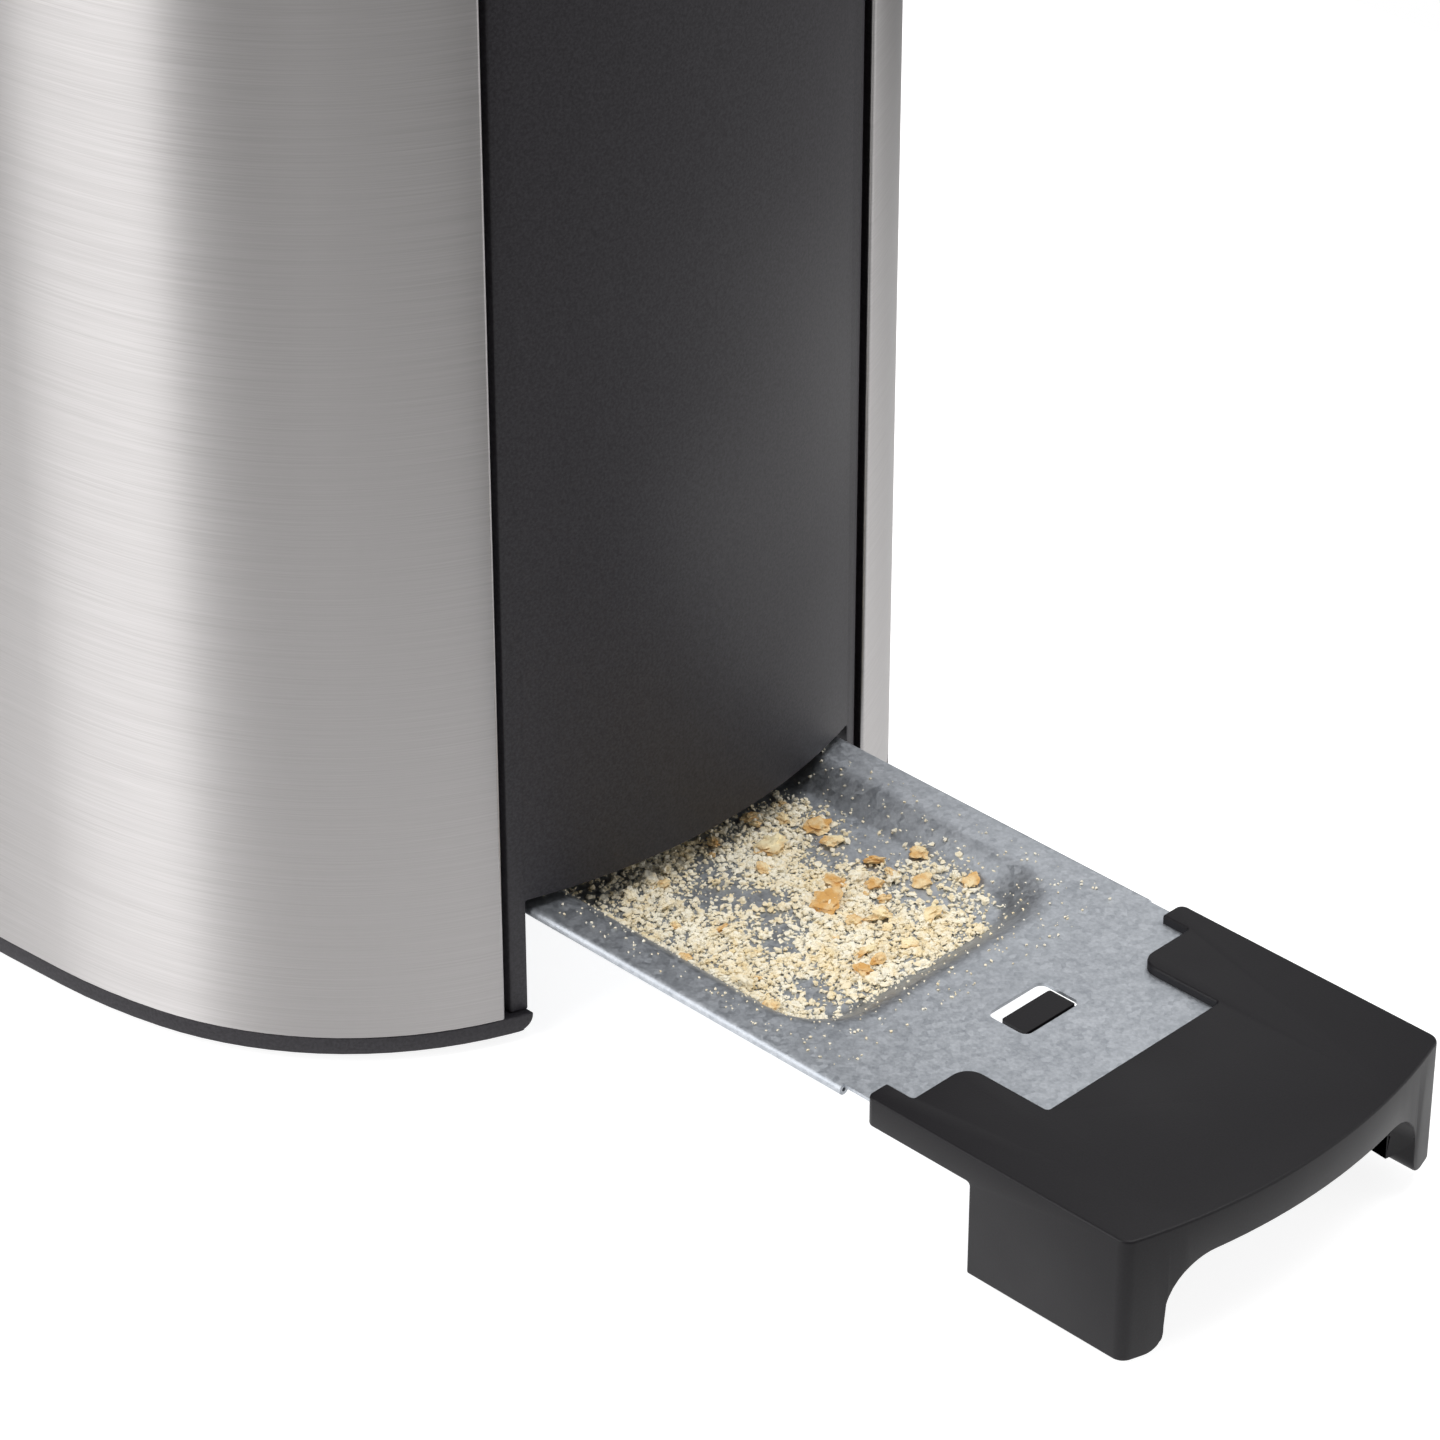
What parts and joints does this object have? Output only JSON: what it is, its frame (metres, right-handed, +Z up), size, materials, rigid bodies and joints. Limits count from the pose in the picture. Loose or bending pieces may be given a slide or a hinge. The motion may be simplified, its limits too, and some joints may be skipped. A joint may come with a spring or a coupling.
{
  "type": "pop up toaster",
  "caption": "Oval two-slice pop up toaster with steel side shells, black end panels, lift lever, dial, buttons and a crumb tray that pulls out at one end.",
  "frame": {"origin": "middle of the toaster's footprint, on the surface it stands on", "axes": "+X is the way the crumb tray pulls out and the longest extent, +Y is across the body (left, seen from the lever end), +Z is up"},
  "size_m": [0.4233, 0.1774, 0.207],
  "materials": {
    "black_moulding": "fine satin texture",
    "brushed_shell": "brushed along the length",
    "bright_trim": "polished edge",
    "rubber": "matt",
    "plated_sheet": "zinc plated sheet",
    "tray_sheet": "galvanised sheet with a fine spangle",
    "steel_wire": "bright drawn wire",
    "mica": "pressed mica board",
    "heater_ribbon": "oxidised resistance ribbon",
    "copper_winding": "enamelled copper wire",
    "circuit_board": "solder resist",
    "component_plastic": "moulded",
    "brass_bush": "turned"
  },
  "bodies": {
    "housing": {"base": "black_moulding", "rubber_feet": "rubber", "base_screws": "steel_wire", "panel_screws": "steel_wire", "shell_left": "brushed_shell", "shell_right": "brushed_shell", "rear_panel": "black_moulding", "front_panel": "black_moulding", "top_cover": "black_moulding", "slot_trim_left": "bright_trim", "slot_trim_right": "bright_trim", "bulkhead_front": "plated_sheet", "bulkhead_rear": "plated_sheet", "reflector_left": "plated_sheet", "reflector_right": "plated_sheet", "top_frame": "plated_sheet", "tray_guide_left": "plated_sheet", "tray_guide_right": "plated_sheet", "guide_rod": "steel_wire", "magnet_core": "steel_wire", "magnet_coil": "copper_winding", "control_board": "circuit_board", "board_bracket": "plated_sheet", "button_switches": "component_plastic", "potentiometer": "component_plastic", "terminal_block": "component_plastic", "cord_gland": "rubber", "mica_card_centre": "mica", "mica_card_left": "mica", "mica_card_right": "mica", "heater_winding_centre": "heater_ribbon", "heater_winding_left": "heater_ribbon", "heater_winding_right": "heater_ribbon", "bread_guard_left_inner": "steel_wire", "bread_guard_left_outer": "steel_wire", "bread_guard_right_inner": "steel_wire", "bread_guard_right_outer": "steel_wire"},
    "carriage": {"carriage_bracket": "plated_sheet", "carriage_bush": "brass_bush", "armature_plate": "steel_wire", "bread_rack_left": "steel_wire", "bread_rack_right": "steel_wire", "lever_arm": "steel_wire", "lever_knob": "black_moulding", "lift_spring": "steel_wire"},
    "dial": {"browning_knob": "black_moulding", "dial_spindle": "component_plastic"},
    "cancel": {"cancel_button": "black_moulding"},
    "reheat": {"reheat_button": "black_moulding"},
    "defrost": {"defrost_button": "black_moulding"},
    "tray": {"crumb_tray": "tray_sheet", "tray_handle": "black_moulding"}
  },
  "joints": [
    {"name": "crumb_tray_slide", "type": "slide", "parent": "housing", "child": "tray", "axis": [1, 0, 0], "range_m": [-0.1294, 0.105]},
    {"name": "carriage_slide", "type": "slide", "parent": "housing", "child": "carriage", "axis": [0, 0, -1], "range_m": [0, 0.075], "stiffness_N_per_m": 100, "springref_m": -0.03, "deforming": ["lift_spring"]},
    {"name": "browning_dial", "type": "hinge", "parent": "housing", "child": "dial", "pos_m": [-0.14, 0, 0.038], "axis": [-1, 0, 0], "range_deg": [-135, 135]},
    {"name": "cancel_press", "type": "slide", "parent": "housing", "child": "cancel", "axis": [1, 0, 0], "range_m": [0, 0.0015], "stiffness_N_per_m": 300, "springref_m": -0.001},
    {"name": "reheat_press", "type": "slide", "parent": "housing", "child": "reheat", "axis": [1, 0, 0], "range_m": [0, 0.0015], "stiffness_N_per_m": 300, "springref_m": -0.001},
    {"name": "defrost_press", "type": "slide", "parent": "housing", "child": "defrost", "axis": [1, 0, 0], "range_m": [0, 0.0015], "stiffness_N_per_m": 300, "springref_m": -0.001}
  ]
}
